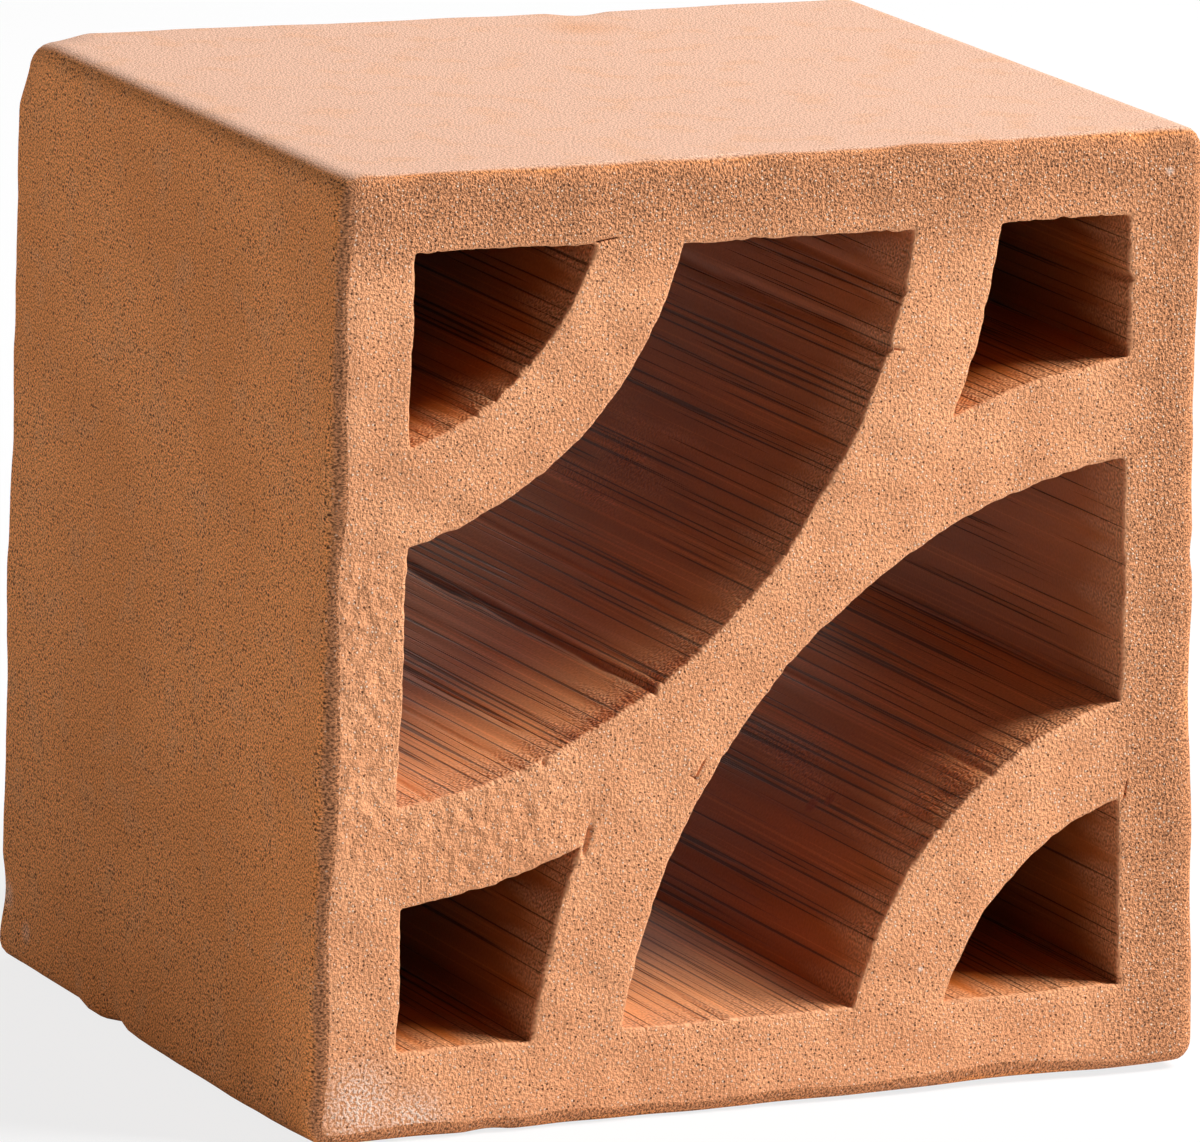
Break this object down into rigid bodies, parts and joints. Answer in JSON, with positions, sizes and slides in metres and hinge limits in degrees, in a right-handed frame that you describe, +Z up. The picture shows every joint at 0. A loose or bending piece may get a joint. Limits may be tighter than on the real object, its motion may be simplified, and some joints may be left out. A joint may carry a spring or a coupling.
{
  "type": "clay breeze block",
  "caption": "Square openwork clay block with concentric arc-shaped voids through its depth, laid in courses to build a screen wall that lets air and light through.",
  "frame": {"origin": "middle of the bottom bed face", "axes": "+Z up as the block is laid, +Y from the front cut face to the back one, which is the way the voids run, +X to the right seen from the front"},
  "size_m": [0.2, 0.17, 0.2],
  "materials": {
    "terracotta": "matte"
  },
  "bodies": {
    "root": {"breeze_block": "terracotta"}
  },
  "joints": []
}
